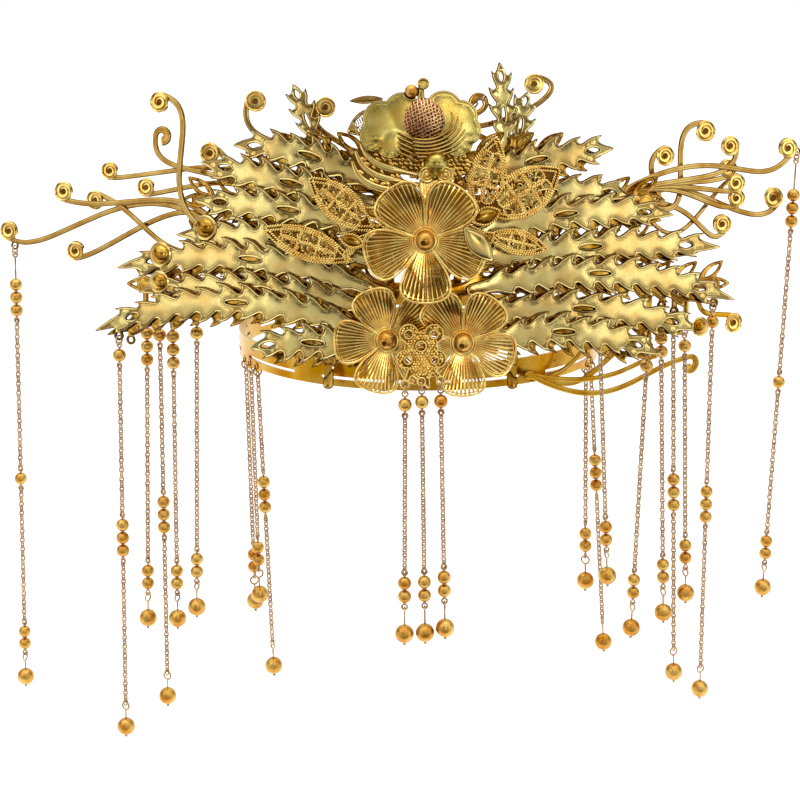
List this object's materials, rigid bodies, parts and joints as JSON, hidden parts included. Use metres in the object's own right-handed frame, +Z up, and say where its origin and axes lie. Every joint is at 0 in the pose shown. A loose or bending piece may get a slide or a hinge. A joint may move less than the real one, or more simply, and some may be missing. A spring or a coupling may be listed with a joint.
{
  "type": "phoenix crown",
  "caption": "Gilt head band carrying a curved fan of flame plates, curled strips, wire flowers, pierced leaves and a bird, with beaded chain strands hanging to both sides and in front.",
  "frame": {"origin": "middle of the head band's lower edge, where the crown sits on a head", "axes": "+Z up, -Y to the crown's front, +X to the right as seen from the front"},
  "size_m": [0.3129, 0.1717, 0.2643],
  "materials": {
    "frame_gold": "gilt brass sheet, satin, deep yellow gold",
    "plate_gold": "pressed gilt brass sheet, pale champagne gold, smooth",
    "curl_gold": "gilt brass strip, bright, rolled ends",
    "flower_gold": "gilt wire-ribbed petals, orange gold",
    "leaf_gold": "gilt filigree with twisted borders",
    "bird_gold": "gilt granular sheet with smooth feathers",
    "crest_gold": "gilt sheet, polished, pale",
    "cloud_gold": "gilt granular sheet",
    "strand_gold": "gilt beads and plated curb chain"
  },
  "bodies": {
    "root": {"crown_frame": "frame_gold", "flame_left_1": "plate_gold", "flame_left_2": "plate_gold", "flame_left_3": "plate_gold", "flame_left_4": "plate_gold", "flame_left_5": "plate_gold", "flame_left_6": "plate_gold", "flame_left_7": "plate_gold", "flame_left_8": "plate_gold", "flame_right_1": "plate_gold", "flame_right_2": "plate_gold", "flame_right_3": "plate_gold", "flame_right_4": "plate_gold", "flame_right_5": "plate_gold", "flame_right_6": "plate_gold", "flame_right_7": "plate_gold", "flame_top_1": "plate_gold", "flame_top_2": "plate_gold", "flame_top_3": "plate_gold", "curls_left_high": "curl_gold", "curls_left_far": "curl_gold", "curls_right_high": "curl_gold", "curls_right_far": "curl_gold", "curls_top_left": "curl_gold", "curls_top_right": "curl_gold", "curl_low_right": "curl_gold", "band_arms": "curl_gold", "flower_middle": "flower_gold", "flower_low_left": "flower_gold", "flower_low_right": "flower_gold", "filigree_left": "leaf_gold", "filigree_right": "leaf_gold", "phoenix_head": "bird_gold", "phoenix_wing": "bird_gold", "crest": "crest_gold", "crest_leaf": "leaf_gold", "cloud_plate": "cloud_gold", "tassel_left_1": "strand_gold", "tassel_left_2": "strand_gold", "tassel_left_3": "strand_gold", "tassel_left_4": "strand_gold", "tassel_left_5": "strand_gold", "tassel_left_6": "strand_gold", "tassel_left_7": "strand_gold", "tassel_left_8": "strand_gold", "tassel_left_9": "strand_gold", "tassel_right_1": "strand_gold", "tassel_right_2": "strand_gold", "tassel_right_3": "strand_gold", "tassel_right_4": "strand_gold", "tassel_right_5": "strand_gold", "tassel_right_6": "strand_gold", "tassel_right_7": "strand_gold", "tassel_right_8": "strand_gold", "tassel_right_9": "strand_gold", "tassel_middle_1": "strand_gold", "tassel_middle_2": "strand_gold", "tassel_middle_3": "strand_gold"}
  },
  "joints": []
}
